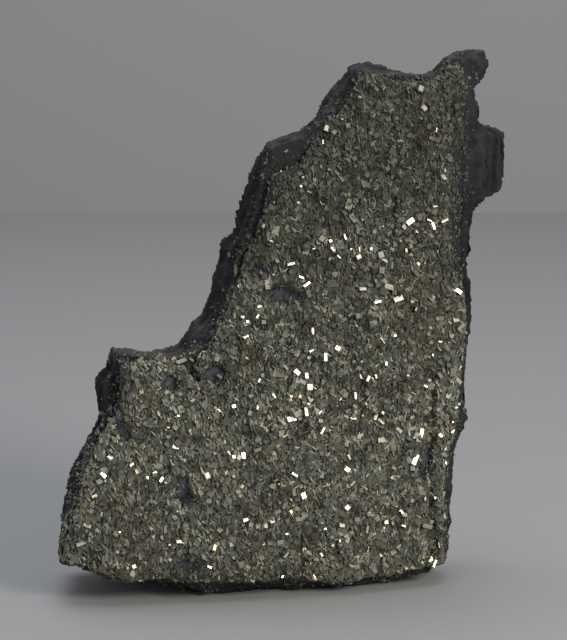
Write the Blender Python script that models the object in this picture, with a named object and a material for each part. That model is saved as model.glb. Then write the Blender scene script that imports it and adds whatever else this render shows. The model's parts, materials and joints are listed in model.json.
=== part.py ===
# A slab of dark shale whose broad front is grown over with small pyrite crystals.
# It stands on its broken lower edge, +Z up, with the crystal face towards -Y.
# Outlines and sizes are in millimetres, as seen from the front, and become metres at the end.

import math
import random

import bmesh
import bpy
from mathutils import Euler, Matrix, Vector, noise
from mathutils.geometry import delaunay_2d_cdt

MM = 0.001
RANDOM_SEED = 7

# The slab's thickness from front to back, at its foot and at its crest.
FOOT_THICKNESS_LEFT = 34.0
FOOT_THICKNESS_RIGHT = 22.0
CREST_THICKNESS = 17.0
CREST_HEIGHT = 158.0
LEFT_END = -69.0
RIGHT_END = 56.0

# The front bows: it stands furthest forward at BOW_CENTRE and falls back towards both ends.
BOW_CENTRE = 8.0
BOW_BACK_LEFT = 6.5
BOW_BACK_RIGHT = 8.0
BOW_REACH_LEFT = 80.0
BOW_REACH_RIGHT = 54.0

# The crust of pyrite lies over the front, clear of the shale by a hair.
CRUST_GAP = 0.3
EDGE_HEIGHT = 1.4
EDGE_MARGIN = 1.1

# The crystals are cube corners on a triangular grid: heights of tip, shoulder and cleft.
GRID_STEP = 2.52
GRID_JITTER = 0.3
ROW_SHARE = 3 ** 0.5 / 2
GRID_HEIGHTS = (3.1, 2.2, 1.3)
HEIGHT_JITTER = 0.35
LARGE_CUBES = 40
LARGE_CUBE_EDGE = 2.8
LARGE_CUBE_HEIGHT = 2.7
LARGE_CUBE_SPACING = 8.0

# How far apart the points lie round the edge, on the front and on the back.
RING_STEP = 5.2
FRONT_STEP = 8.5
BACK_STEP = 6.2
OUTLINE_CLEARANCE = 1.2

# How unevenly the edge and the back broke: the last three are the height, number and size
# of the terraces on the back.
OUTLINE_ROUGHNESS = 0.8
LEDGE_ROUGHNESS = 1.8
ROUGHNESS_SIZE = 8.0
LEDGE_WANDER = 0.15
LEDGE_FADE = 0.45
BACK_WANDER = 2.6
BACK_SWELL = 2.2
BACK_SWELL_SIZE = 34.0
BACK_TERRACE = 2.4
BACK_TERRACES = 2.6
BACK_TERRACE_SIZE = 30.0

# Share of the way back against share of the way out, from the front rim to the widest line,
# and then from the widest line to the back rim: the broken edges step down in laminae.
FRONT_LEDGES = [(0.0, 0.0), (0.3, 0.2), (0.4, 0.52), (0.74, 0.66), (0.86, 1.0)]
BACK_LEDGES = [(0.0, 0.0), (0.28, 0.32), (0.36, 0.5), (0.64, 0.68), (0.74, 0.9), (1.0, 1.0)]

# The edge of the slab, clockwise from its lower left corner. Each stretch gives the widest
# line of the rock, the rim of its front face, how far the widest line lies behind that rim,
# and how far the back rim lies inside the widest line.
EDGE_STRETCHES = {
    "lower left side": {
        "widest": [(-69, 11.5), (-69.3, 17), (-68, 22), (-66, 35), (-65.3, 39.5), (-62.3, 44),
                   (-60.5, 50.5), (-57.2, 52), (-56, 55)],
        "rim": [(-68.8, 13.5), (-68.7, 18), (-65.7, 29), (-63.6, 36), (-61, 45), (-56.5, 53),
                (-55.4, 56)],
        "setback": 6, "back_inset": 7.5},
    "side knob": {
        "widest": [(-56, 55), (-56.2, 58), (-57.8, 64.5), (-56.8, 67.5), (-54, 69.5), (-53.6, 73),
                   (-52.5, 75.8)],
        "rim": [(-55.4, 56), (-53.3, 60), (-52.2, 67), (-51.8, 75)],
        "setback": 7, "back_inset": 8},
    "ledge": {
        "widest": [(-52.5, 75.8), (-50.6, 77), (-48.7, 76.6), (-46.5, 75.2), (-41, 74.8), (-36.8, 74.9),
                   (-34.5, 76), (-32.9, 76.4)],
        "rim": [(-51.8, 75), (-50, 75.8), (-46.5, 74.2), (-39.5, 73.9), (-33.6, 74.2), (-31.6, 73)],
        "setback": 8, "back_inset": 6},
    "inner corner lump": {
        "widest": [(-32.9, 76.4), (-31.7, 79.5), (-28, 83.5), (-26, 85), (-25, 88.5), (-20.8, 98.5),
                   (-20.6, 102.5), (-19.8, 105.8)],
        "rim": [(-31.6, 73), (-29.6, 74), (-26, 76.8), (-20.7, 86), (-17.6, 96), (-16.4, 102.5)],
        "setback": 8, "back_inset": 7},
    "upper left flank": {
        "widest": [(-19.8, 105.8), (-16.6, 108.2), (-15.8, 112), (-13.5, 119), (-11.3, 126),
                   (-9.6, 128.6), (-8, 133.5), (-6.4, 135.5)],
        "rim": [(-16.4, 102.5), (-13, 108.5), (-9.8, 118), (-8.6, 128), (-6.9, 133.8)],
        "setback": 11, "back_inset": 6},
    "shoulder": {
        "widest": [(-6.4, 135.5), (-4.5, 136.5), (-2, 136.4), (3, 138.6), (5.3, 139.3), (8.3, 142.3)],
        "rim": [(-6.9, 133.8), (-5, 135), (-2.5, 135.4), (3.5, 137.8), (8, 141.5)],
        "setback": 7, "back_inset": 5},
    "upper left lump": {
        "widest": [(8.3, 142.3), (10.3, 145.2), (10.8, 148.2), (12.6, 151.2), (15.2, 152.6),
                   (17.2, 155.7), (18.8, 157.4)],
        "rim": [(8, 141.5), (11, 144.5), (13.6, 146), (16.2, 150), (17.4, 154.3), (18.6, 156)],
        "setback": 7, "back_inset": 5},
    "crest": {
        "widest": [(18.8, 157.4), (20.5, 159.4), (23, 159.4), (27, 157.8), (31, 155.9), (36, 154.5),
                   (40.5, 154.7), (44.4, 155.8)],
        "rim": [(18.6, 156), (20.5, 157.5), (22.5, 157.4), (28, 155), (33, 153.8), (38, 153.7),
                (43.6, 154.6)],
        "setback": 5, "back_inset": 5},
    "crest lobe": {
        "widest": [(44.4, 155.8), (47, 159), (49.5, 160.4), (56, 161.2), (59.8, 161.5)],
        "rim": [(43.6, 154.6), (47, 158.3), (50, 159.2), (57.6, 159.9)],
        "setback": 4, "back_inset": 4},
    "lobe tip": {
        "widest": [(59.8, 161.5), (62.3, 157.8), (61.6, 154.7), (58.8, 151.6), (56.6, 150)],
        "rim": [(57.6, 159.9), (59.3, 156.5), (57.7, 153.9), (54.6, 151)],
        "setback": 4, "back_inset": 4},
    "small lump": {
        "widest": [(56.6, 150), (56.5, 148), (58.8, 145), (58.9, 140.6)],
        "rim": [(54.6, 151), (53.2, 148.4), (52.8, 145), (53.2, 140.5)],
        "setback": 6, "back_inset": 3},
    "right tab top": {
        "widest": [(58.9, 140.6), (61, 139.9), (66, 137.5), (67.9, 136.3)],
        "rim": [(53.2, 140.5), (53.7, 135)],
        "setback": 8, "back_inset": 3.5},
    "right tab side": {
        "widest": [(67.9, 136.3), (68.7, 131.6), (68.7, 126.5), (67.9, 120.8), (66.4, 118.4)],
        "rim": [(53.7, 135), (53.6, 130), (53.2, 123)],
        "setback": 8, "back_inset": 3.5},
    "right tab foot": {
        "widest": [(66.4, 118.4), (64.4, 117.4), (61.6, 116.9)],
        "rim": [(53.2, 123), (52.6, 118)],
        "setback": 8, "back_inset": 3.5},
    "upper right side": {
        "widest": [(61.6, 116.9), (59.4, 114.5), (57.2, 110.5), (56.8, 105), (57.5, 101.2),
                   (54.9, 95.8)],
        "rim": [(52.6, 118), (51.4, 112), (50.2, 105), (50.8, 100), (52, 96.8)],
        "setback": 6, "back_inset": 3},
    "lower right side": {
        "widest": [(54.9, 95.8), (56.8, 87.5), (57.9, 83.2), (57, 72), (55.8, 60), (55.8, 51.5),
                   (52.6, 38.5), (51.6, 26), (50.8, 15.5), (50.4, 3.8)],
        "rim": [(52, 96.8), (53.8, 89), (54.6, 84), (54, 71), (52.6, 60), (52.7, 52), (49, 40),
                (48.2, 31), (48.2, 16), (48.4, 5)],
        "setback": 5, "back_inset": 3},
    "foot": {
        "widest": [(50.4, 3.8), (46.5, 2.8), (41, 2.6), (36.5, 1), (33, -2.2), (20, -2.2), (0, -2.2),
                   (-20, -2.2), (-28, -2.2), (-33, 1.4), (-44, 3.4), (-54, 5.4), (-62, 8.4),
                   (-67, 10.4), (-69, 11.5)],
        "rim": [(48.4, 5), (46, 4.5), (39, 4.5), (26, 4.3), (20.5, 3.6), (16, 2.4), (10.5, 3.6),
                (-3, 5.2), (-13.5, 4.4), (-21, 5.5), (-32.5, 5.5), (-37, 7), (-49, 6.8), (-55, 7.8),
                (-63, 11.6), (-68.8, 13.5)],
        "setback": 11, "back_inset": 0.5},
}

# The edge of the crystal crust on the front, in the same direction. The narrow notch at the
# upper left is the crack that runs in from the inner corner.
CRUST_EDGE = [
    (-68, 14), (-67.8, 18), (-64.8, 29), (-62.8, 36), (-60, 44.7), (-55.6, 53), (-52.5, 61), (-51, 67),
    (-50.8, 72.6), (-46.4, 73.2), (-39.5, 73), (-33.4, 73.2), (-31.8, 70.3), (-29.8, 67), (-27.6, 64),
    (-28.4, 68), (-30, 71.8), (-28.4, 73.8), (-25.2, 76.6), (-20, 86.3), (-16.6, 96.5), (-15.2, 102.3),
    (-11.8, 109), (-8.9, 117.8), (-7.6, 125.2), (-5.4, 127.4), (-2.2, 128.7), (1.4, 130.4), (4, 133.2),
    (6.7, 137.2), (9.4, 141.8), (13.4, 144.2), (16.4, 148.6), (18.1, 153.2), (20.8, 156), (25, 155),
    (30, 153.2), (36, 152.7), (41, 153), (44.4, 154.6), (48, 157.6), (50.6, 156.4), (52.4, 151),
    (51.6, 146), (52, 138.5), (52.5, 132), (51.6, 120.5), (49.6, 112), (48.6, 104), (50.4, 97.5),
    (53, 89), (53.6, 82), (53, 71), (51.6, 60), (51.6, 52), (47.8, 39.5), (47, 30.5), (47, 16),
    (47.2, 6.1), (39, 5.5), (26.3, 5.2), (20.8, 4.6), (16, 3.4), (10.8, 4.6), (-3, 6.1), (-13.5, 5.3),
    (-21, 6.4), (-32.3, 6.4), (-36.6, 8), (-49, 7.7), (-54.6, 8.8), (-62.4, 12.4),
]

# Places where the front stays bare of crystals: centre, half width, half height and turn in degrees.
BARE_PATCHES = {
    "beside the crack": (-23.8, 68.6, 3.4, 2.5, 20),
    "under the ledge": (-37.0, 66.6, 2.0, 2.6, 0),
    "long smear": (-33.0, 33.6, 1.9, 5.0, 8),
    "foot smear": (-31.8, 11.6, 3.2, 1.8, 5),
    "right rib": (40.4, 38.0, 1.7, 5.6, -8),
    "above the hollow": (-3.4, 92.0, 5.4, 2.4, -6),
    "left flank": (-50.4, 52.6, 1.5, 3.8, 12),
    "near the flank": (-10.8, 99.0, 3.0, 2.0, 25),
}
PATCH_WOBBLE = 0.18

# Broad relief of the front: centre, reach across, reach up, and how far it stands forward.
FACE_RELIEF = {
    "left block": (-44, 62, 12, 12, 1.6),
    "low left swell": (-50, 24, 14, 16, 1.2),
    "middle swell": (-8, 44, 20, 22, 1.8),
    "belly": (22, 84, 18, 26, 1.6),
    "crest swell": (30, 134, 14, 16, 1.4),
    "hollow": (-2.5, 84, 5.0, 5.5, -2.6),
    "right groove": (42.6, 42, 2.6, 26, -1.8),
    "foot groove": (4.8, 9, 1.8, 9, -1.4),
    "foot rib": (16, 10, 5, 12, 1.0),
    "upper groove": (36, 118, 3, 16, -1.2),
    "valley": (-22, 60, 7, 16, -1.4),
}

# A form narrower than this is a groove or a rib, and its bottom and both lips get points.
GROOVE_WIDTH = 4.0
GROOVE_LIP = 1.7
GROOVE_STEP = 5.5
FACE_NOISE = 0.8
FACE_NOISE_SIZE = 17.0


def bow(x):
    if x < BOW_CENTRE:
        return BOW_BACK_LEFT * ((BOW_CENTRE - x) / BOW_REACH_LEFT) ** 2
    return BOW_BACK_RIGHT * ((x - BOW_CENTRE) / BOW_REACH_RIGHT) ** 2


def face_depth(x, z):
    # How far back the shale's front lies at a place on it.
    forward = sum(
        rise * math.exp(-(((x - cx) / across) ** 2) - ((z - cz) / up) ** 2)
        for cx, cz, across, up, rise in FACE_RELIEF.values()
    )
    ripple = FACE_NOISE * noise.noise(Vector((x, 0, z)) / FACE_NOISE_SIZE)
    return bow(x) - forward - ripple


def slab_thickness(x, z):
    along = min(max((x - LEFT_END) / (RIGHT_END - LEFT_END), 0), 1)
    foot = FOOT_THICKNESS_LEFT + (FOOT_THICKNESS_RIGHT - FOOT_THICKNESS_LEFT) * along
    up = min(max(z / CREST_HEIGHT, 0), 1)
    return foot + (CREST_THICKNESS - foot) * up


def back_depth(x, z):
    # The hackly back: broad swells, with flat terraces where whole laminae broke away.
    swell = BACK_SWELL * noise.noise(Vector((x, 40, z)) / BACK_SWELL_SIZE)
    lean = Vector((x + 0.5 * z, 90, 0.6 * z - 0.3 * x)) / BACK_TERRACE_SIZE
    terrace = BACK_TERRACE * round(BACK_TERRACES * noise.noise(lean))
    return face_depth(x, z) + slab_thickness(x, z) + swell + terrace


def read_along(points, count):
    # That many points, evenly spaced along a broken line, leaving out its last point.
    lengths = [math.dist(a, b) for a, b in zip(points, points[1:])]
    spots = []
    for i in range(count):
        rest = sum(lengths) * i / count
        k = 0
        while rest > lengths[k]:
            rest -= lengths[k]
            k += 1
        a, b = points[k], points[k + 1]
        share = rest / lengths[k]
        spots.append(Vector((a[0] + (b[0] - a[0]) * share, a[1] + (b[1] - a[1]) * share)))
    return spots


def smoothed(values, reach):
    # Each value averaged with its neighbours round the closed edge.
    n = len(values)
    window = range(-reach, reach + 1)
    return [sum((values[(i + k) % n] for k in window), values[0] * 0) / len(window) for i in range(n)]


def edge_lines():
    # The matched points of the front rim, the widest line and the back rim, and the setbacks.
    rim, widest, setback, inset = [], [], [], []
    for stretch in EDGE_STRETCHES.values():
        line = stretch["widest"]
        length = sum(math.dist(a, b) for a, b in zip(line, line[1:]))
        count = max(3, round(length / RING_STEP))
        widest += read_along(line, count)
        rim += read_along(stretch["rim"], count)
        setback += [float(stretch["setback"])] * count
        inset += [float(stretch["back_inset"])] * count
    n = len(widest)
    inward = []
    for i in range(n):
        along = widest[(i + 1) % n] - widest[i - 1]
        distance = max(inset[i] + BACK_WANDER * noise.noise(Vector((i / 3.5, 60, 0))), 0)
        inward.append(Vector((along.y, -along.x)).normalized() * distance)
    back = [w + move for w, move in zip(widest, smoothed(inward, 2))]
    for point, low in zip(back, widest):
        if low.y < 0:
            point.y = low.y
    return rim, widest, back, smoothed(setback, 2)


def inside(point, polygon):
    found = False
    for (ax, ay), (bx, by) in zip(polygon, polygon[1:] + polygon[:1]):
        if (ay > point[1]) != (by > point[1]) and point[0] < (bx - ax) * (point[1] - ay) / (by - ay) + ax:
            found = not found
    return found


def edge_distance(point, polygon):
    nearest = math.inf
    for a, b in zip(polygon, polygon[1:] + polygon[:1]):
        a, b, p = Vector(a), Vector(b), Vector(point)
        share = min(max((p - a).dot(b - a) / (b - a).length_squared, 0), 1)
        nearest = min(nearest, (p - a - (b - a) * share).length)
    return nearest


def clear_of(point, outlines):
    return all(edge_distance(point, outline) > OUTLINE_CLEARANCE for outline in outlines)


def patch_outline(name, points=8):
    # A wobbly ellipse.
    cx, cz, half_width, half_height, turn = BARE_PATCHES[name]
    outline = []
    for i in range(points):
        angle = 2 * math.pi * i / points
        wobble = 1 + PATCH_WOBBLE * noise.noise(Vector((cx, cz, 3 * i)))
        across, up = half_width * wobble * math.cos(angle), half_height * wobble * math.sin(angle)
        c, s = math.cos(math.radians(turn)), math.sin(math.radians(turn))
        outline.append((cx + across * c - up * s, cz + across * s + up * c))
    return outline


def scattered_inside(outline, step, seed):
    # A jittered grid of points, each well inside the outline.
    rng = random.Random(seed)
    low_x, high_x = min(p[0] for p in outline), max(p[0] for p in outline)
    low_z, high_z = min(p[1] for p in outline), max(p[1] for p in outline)
    found = []
    for row in range(int((high_z - low_z) / step) + 1):
        for column in range(int((high_x - low_x) / step) + 1):
            x = low_x + (column + rng.uniform(0.2, 0.8) + 0.5 * (row % 2)) * step
            z = low_z + (row + rng.uniform(0.2, 0.8)) * step
            if inside((x, z), outline) and edge_distance((x, z), outline) > 0.45 * step:
                found.append((x, z))
    return found


def flat_triangles(outlines, loose_points):
    # Triangles that fill the first outline and keep every outline's edges, each with the set
    # of outlines it lies in. Outlines are turned anticlockwise, as the triangulation needs.
    points, loops = [], []
    for outline in outlines:
        first = len(points)
        points += [Vector(p) for p in outline]
        loop = list(range(first, len(points)))
        area = sum(points[a].cross(points[b]) for a, b in zip(loop, loop[1:] + loop[:1]))
        loops.append(loop if area > 0 else loop[::-1])
    points += [Vector(p) for p in loose_points]
    spots, _, faces, from_points, _, from_loops = delaunay_2d_cdt(points, [], loops, 1, 1e-5)
    return spots, faces, from_points, from_loops


def groove_points():
    # Points down the bottom and both lips of each narrow groove.
    found = []
    for cx, cz, across, up, rise in FACE_RELIEF.values():
        if across < GROOVE_WIDTH:
            steps = int(2 * up / GROOVE_STEP)
            for row in range(steps + 1):
                z = cz - up + 2 * up * row / steps
                found += [(cx + side * across * GROOVE_LIP, z) for side in (-1, 0, 1)]
    return found


def shale_face_points():
    # The loose points of the shale's front, clear of the outlines drawn on it.
    frame = [point for stretch in EDGE_STRETCHES.values() for point in stretch["rim"][:-1]]
    outlines = [CRUST_EDGE] + [patch_outline(name) for name in BARE_PATCHES]
    grooves = [p for p in groove_points() if inside(p, frame)]
    loose = scattered_inside(frame, FRONT_STEP, RANDOM_SEED)
    loose = [p for p in loose if all(math.dist(p, q) > 0.4 * FRONT_STEP for q in grooves)]
    return [p for p in loose + grooves if clear_of(p, outlines)]


def face_triangles(rim):
    outlines = [[tuple(p) for p in rim], CRUST_EDGE] + [patch_outline(name) for name in BARE_PATCHES]
    return flat_triangles(outlines, shale_face_points())


def roughened(point, layer, amount):
    # Shifts an edge point by a little noise that changes from one lamina to the next.
    place = Vector((point.x, 100 * layer, point.y)) / ROUGHNESS_SIZE
    return point + Vector((noise.noise(place), noise.noise(place + Vector((31, 0, 0))))) * amount


def ledge_ring(inner, outer, layer, depth_share, out_share):
    # One ring of the broken edge: its depth share wanders and its ledge comes and goes.
    ring = []
    free = 0 < out_share < 1
    for i, (a, b) in enumerate(zip(inner, outer)):
        wander = LEDGE_WANDER * noise.noise(Vector((i / 4.5, 11 * (layer // 2), 5))) * free
        fade = LEDGE_FADE * noise.noise(Vector((i / 3, 7 * layer, 0))) * free
        spot = a.lerp(b, min(max(out_share + fade, 0), 1))
        spot = roughened(spot, layer, LEDGE_ROUGHNESS if free else OUTLINE_ROUGHNESS)
        ring.append((spot, depth_share + wander))
    return ring


def make_shale(rim, widest, back, setback, front):
    mesh = bmesh.new()
    spots, faces, from_points, _ = front
    front_verts = [mesh.verts.new((p.x, face_depth(p.x, p.y), p.y)) for p in spots]
    for a, b, c in faces:
        mesh.faces.new((front_verts[a], front_verts[b], front_verts[c]))
    at_rim = {source: vert for vert, sources in zip(front_verts, from_points) for source in sources}
    n = len(rim)
    rings = [[at_rim[i] for i in range(n)]]
    for layer, (depth_share, out_share) in enumerate(FRONT_LEDGES[1:], 1):
        ring = ledge_ring(rim, widest, layer, depth_share, out_share)
        rings.append([
            mesh.verts.new((spot.x, face_depth(*rim[i]) + setback[i] * share, spot.y))
            for i, (spot, share) in enumerate(ring)
        ])
    for layer, (depth_share, in_share) in enumerate(BACK_LEDGES, len(FRONT_LEDGES)):
        ring = ledge_ring(widest, back, layer, depth_share, in_share)
        made = []
        for i, (spot, share) in enumerate(ring):
            start = face_depth(*rim[i]) + setback[i]
            made.append(mesh.verts.new((spot.x, start + (back_depth(*back[i]) - start) * share, spot.y)))
        rings.append(made)
    for first, second in zip(rings, rings[1:]):
        for i in range(n):
            k = (i + 1) % n
            mesh.faces.new((first[i], first[k], second[k], second[i]))
    fill_back(mesh, rings[-1])
    cut_flat_foot(mesh)
    return finish_object(mesh, "shale_slab")


def fill_back(mesh, back_rim):
    outline = [(v.co.x, v.co.z) for v in back_rim]
    loose = scattered_inside(outline, BACK_STEP, RANDOM_SEED + 1)
    spots, faces, sources, _ = flat_triangles([outline], loose)
    verts = []
    for spot, from_points in zip(spots, sources):
        on_rim = [s for s in from_points if s < len(back_rim)]
        if on_rim:
            verts.append(back_rim[on_rim[0]])
        else:
            verts.append(mesh.verts.new((spot.x, back_depth(spot.x, spot.y), spot.y)))
    for a, b, c in faces:
        mesh.faces.new((verts[a], verts[b], verts[c]))


def cut_flat_foot(mesh):
    # Takes off what lies below the ground and closes the cut.
    everything = mesh.verts[:] + mesh.edges[:] + mesh.faces[:]
    bmesh.ops.bisect_plane(mesh, geom=everything, plane_co=(0, 0, 0), plane_no=(0, 0, 1), clear_inner=True)
    bmesh.ops.holes_fill(mesh, edges=[e for e in mesh.edges if e.is_boundary], sides=0)


def cube_corner_points():
    # A triangular grid of tips, shoulders and clefts in turn: every tip has three shoulders and
    # three clefts round it, which is how a cube looks from its corner. Gives place and height.
    rng = random.Random(RANDOM_SEED + 2)
    bounds = [[p[i] for p in CRUST_EDGE] for i in (0, 1)]
    keep_off = [CRUST_EDGE] + [patch_outline(name) for name in BARE_PATCHES]
    rows = int((max(bounds[1]) - min(bounds[1])) / (GRID_STEP * ROW_SHARE)) + 1
    columns = int((max(bounds[0]) - min(bounds[0])) / GRID_STEP) + 1
    found = []
    for row in range(rows):
        for column in range(columns):
            height = GRID_HEIGHTS[(column - row // 2 + 2 * row) % 3] + rng.uniform(-1, 1) * HEIGHT_JITTER
            x = min(bounds[0]) + (column + 0.5 * (row % 2) + rng.uniform(-1, 1) * GRID_JITTER) * GRID_STEP
            z = min(bounds[1]) + (row * ROW_SHARE + rng.uniform(-1, 1) * GRID_JITTER) * GRID_STEP
            if inside((x, z), CRUST_EDGE) and not any(inside((x, z), outline) for outline in keep_off[1:]):
                if min(edge_distance((x, z), outline) for outline in keep_off) > EDGE_MARGIN:
                    found.append((x, z, height))
    return found


def covered_triangles(outlines, loose_points):
    # The triangles inside the crust's edge and outside its bare patches.
    spots, faces, sources, loops = flat_triangles(outlines, loose_points)
    covered = [face for face, within in zip(faces, loops) if set(within) == {0}]
    return spots, covered, sources


def add_crust_layer(mesh, outlines, points, heights):
    # One side of the crust, and its vertices by the number of the outline point they come from.
    spots, covered, sources = covered_triangles(outlines, points)
    edge_count = sum(len(outline) for outline in outlines)
    verts, on_edge = {}, {}
    for k in sorted({k for face in covered for k in face}):
        x, z = spots[k]
        source = sources[k][0]
        height = heights[source - edge_count] if source >= edge_count else heights[-1]
        verts[k] = mesh.verts.new((x, face_depth(x, z) - CRUST_GAP - height, z))
        if source < edge_count:
            on_edge[source] = verts[k]
    for face in covered:
        mesh.faces.new([verts[k] for k in face])
    return on_edge


def make_crust():
    # The back follows the shale's own triangles; the front is the grid of cube corners.
    outlines = [CRUST_EDGE] + [patch_outline(name) for name in BARE_PATCHES]
    flat = [p for p in shale_face_points() if inside(p, CRUST_EDGE)]
    grid = cube_corner_points()
    mesh = bmesh.new()
    back = add_crust_layer(mesh, outlines, flat, [0] * (len(flat) + 1))
    front = add_crust_layer(mesh, outlines, [p[:2] for p in grid], [p[2] for p in grid] + [EDGE_HEIGHT])
    first = 0
    for outline in outlines:
        ring = list(range(first, first + len(outline)))
        first += len(outline)
        for a, b in zip(ring, ring[1:] + ring[:1]):
            mesh.faces.new((front[a], front[b], back[b], back[a]))
    return finish_object(mesh, "pyrite_crust")


def make_large_cubes():
    # The largest crystals: whole cubes turned every way, sunk to about their middle.
    rng = random.Random(RANDOM_SEED + 5)
    mesh = bmesh.new()
    spots = []
    tips = [p for p in cube_corner_points() if p[2] > GRID_HEIGHTS[0] - HEIGHT_JITTER]
    rng.shuffle(tips)
    for x, z, _ in tips:
        if len(spots) == LARGE_CUBES:
            break
        if edge_distance((x, z), CRUST_EDGE) < LARGE_CUBE_EDGE:
            continue
        if all(math.dist((x, z), other) > LARGE_CUBE_SPACING for other in spots):
            spots.append((x, z))
            edge = LARGE_CUBE_EDGE * rng.uniform(0.85, 1.05)
            depth = face_depth(x, z) - CRUST_GAP - LARGE_CUBE_HEIGHT
            turn = Euler([rng.uniform(0, math.tau) for _ in range(3)]).to_matrix().to_4x4()
            bmesh.ops.create_cube(mesh, size=edge, matrix=Matrix.Translation((x, depth, z)) @ turn)
    return finish_object(mesh, "large cubes")


def finish_object(mesh, name):
    # Turns the faces outwards, brings the mesh to metres and makes it an object.
    bmesh.ops.recalc_face_normals(mesh, faces=mesh.faces)
    bmesh.ops.transform(mesh, matrix=Matrix.Scale(MM, 4), verts=mesh.verts)
    data = bpy.data.meshes.new(name)
    mesh.to_mesh(data)
    mesh.free()
    obj = bpy.data.objects.new(name, data)
    bpy.context.scene.collection.objects.link(obj)
    return obj


def fuse(body, grown):
    # Joins the crystals to the crust for good, and drops any pocket that they close off.
    union = body.modifiers.new("grown crystals", "BOOLEAN")
    union.operation = "UNION"
    union.solver = "EXACT"
    union.use_self = True
    union.object = grown
    bpy.context.view_layer.objects.active = body
    bpy.ops.object.modifier_apply(modifier=union.name)
    bpy.data.objects.remove(grown)
    keep_largest_shell(body)


def keep_largest_shell(obj):
    mesh = bmesh.new()
    mesh.from_mesh(obj.data)
    bmesh.ops.remove_doubles(mesh, verts=mesh.verts, dist=1e-6)
    unseen, shells = set(mesh.verts), []
    while unseen:
        shell, edge_of_search = set(), [unseen.pop()]
        while edge_of_search:
            vert = edge_of_search.pop()
            shell.add(vert)
            near = [e.other_vert(vert) for e in vert.link_edges]
            edge_of_search += [v for v in near if v in unseen]
            unseen.difference_update(near)
        shells.append(shell)
    shells.sort(key=len)
    bmesh.ops.delete(mesh, geom=[v for shell in shells[:-1] for v in shell], context="VERTS")
    mesh.to_mesh(obj.data)
    mesh.free()


def principled(name, colour, roughness, metallic):
    material = bpy.data.materials.new(name)
    material.use_nodes = True
    shader = material.node_tree.nodes["Principled BSDF"]
    shader.inputs["Base Color"].default_value = (*colour, 1)
    shader.inputs["Roughness"].default_value = roughness
    shader.inputs["Metallic"].default_value = metallic
    return material


def stand_on_origin(objects):
    # Hangs the pieces on an empty that puts the middle of their foot at the origin.
    corners = [Vector(c) for obj in objects for c in obj.bound_box]
    low = Vector(min(c[i] for c in corners) for i in range(3))
    high = Vector(max(c[i] for c in corners) for i in range(3))
    specimen = bpy.data.objects.new("specimen", None)
    bpy.context.scene.collection.objects.link(specimen)
    specimen.location = (-(low.x + high.x) / 2, -(low.y + high.y) / 2, -low.z)
    for obj in objects:
        obj.parent = specimen


def main():
    for obj in list(bpy.data.objects):
        bpy.data.objects.remove(obj)
    rim, widest, back, setback = edge_lines()
    front = face_triangles(rim)
    shale = make_shale(rim, widest, back, setback, front)
    crust = make_crust()
    fuse(crust, make_large_cubes())
    shale.data.materials.append(principled("dark shale", (0.045, 0.047, 0.052), 0.75, 0))
    crust.data.materials.clear()
    crust.data.materials.append(principled("brassy pyrite", (0.36, 0.33, 0.23), 0.3, 1))
    stand_on_origin([shale, crust])


main()
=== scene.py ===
# Pyrite specimen: a broken slab of black shale with a druse of small pyrite crystals on its front.
import json
import math
import bpy
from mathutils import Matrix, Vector

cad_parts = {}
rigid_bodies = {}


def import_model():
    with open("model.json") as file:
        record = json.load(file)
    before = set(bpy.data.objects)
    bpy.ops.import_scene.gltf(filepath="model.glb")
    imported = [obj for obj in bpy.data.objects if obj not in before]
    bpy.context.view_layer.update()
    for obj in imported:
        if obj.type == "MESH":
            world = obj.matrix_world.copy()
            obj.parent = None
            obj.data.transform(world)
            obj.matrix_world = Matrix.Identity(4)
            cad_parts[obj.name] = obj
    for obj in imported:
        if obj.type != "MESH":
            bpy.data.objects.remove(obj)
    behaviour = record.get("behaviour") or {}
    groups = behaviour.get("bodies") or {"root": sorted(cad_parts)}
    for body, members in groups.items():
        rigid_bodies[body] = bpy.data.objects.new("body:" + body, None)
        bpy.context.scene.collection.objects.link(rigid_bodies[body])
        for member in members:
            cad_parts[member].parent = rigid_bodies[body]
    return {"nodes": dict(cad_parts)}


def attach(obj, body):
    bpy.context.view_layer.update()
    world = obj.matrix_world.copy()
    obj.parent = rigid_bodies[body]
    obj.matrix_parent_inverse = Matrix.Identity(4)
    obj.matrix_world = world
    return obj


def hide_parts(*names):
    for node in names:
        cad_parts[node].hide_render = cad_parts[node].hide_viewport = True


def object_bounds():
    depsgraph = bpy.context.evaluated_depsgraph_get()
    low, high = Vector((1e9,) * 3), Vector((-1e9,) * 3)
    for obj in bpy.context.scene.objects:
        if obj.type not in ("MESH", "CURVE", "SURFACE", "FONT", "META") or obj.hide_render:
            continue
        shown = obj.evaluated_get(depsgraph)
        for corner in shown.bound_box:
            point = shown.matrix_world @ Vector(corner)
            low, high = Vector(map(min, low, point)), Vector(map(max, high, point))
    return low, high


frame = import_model()
cadLow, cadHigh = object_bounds()
print("frame loaded:", sorted(frame["nodes"]))


def toLinear(hexText):  # sRGB hex to the linear colour that a socket takes
    channels = [int(hexText[i:i + 2], 16) / 255 for i in (0, 2, 4)]
    linear = [c / 12.92 if c <= 0.04045 else ((c + 0.055) / 1.055) ** 2.4 for c in channels]
    return (*linear, 1)


def addNode(tree, kind, inputs=None, stops=None, **settings):  # a node, its settings, its values and links
    node = tree.nodes.new(kind)
    for name, value in settings.items():
        setattr(node, name, value)
    for key, value in (inputs or {}).items():
        if isinstance(value, bpy.types.Node):
            value = next(output for output in value.outputs if output.enabled)
        if isinstance(value, bpy.types.NodeSocket):
            tree.links.new(value, node.inputs[key])
        else:
            node.inputs[key].default_value = value
    if stops:
        ramp = node.color_ramp.elements
        while len(ramp) < len(stops):
            ramp.new(1)
        for element, (place, colour) in zip(ramp, stops):
            element.position, element.color = place, colour
    return node


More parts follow.
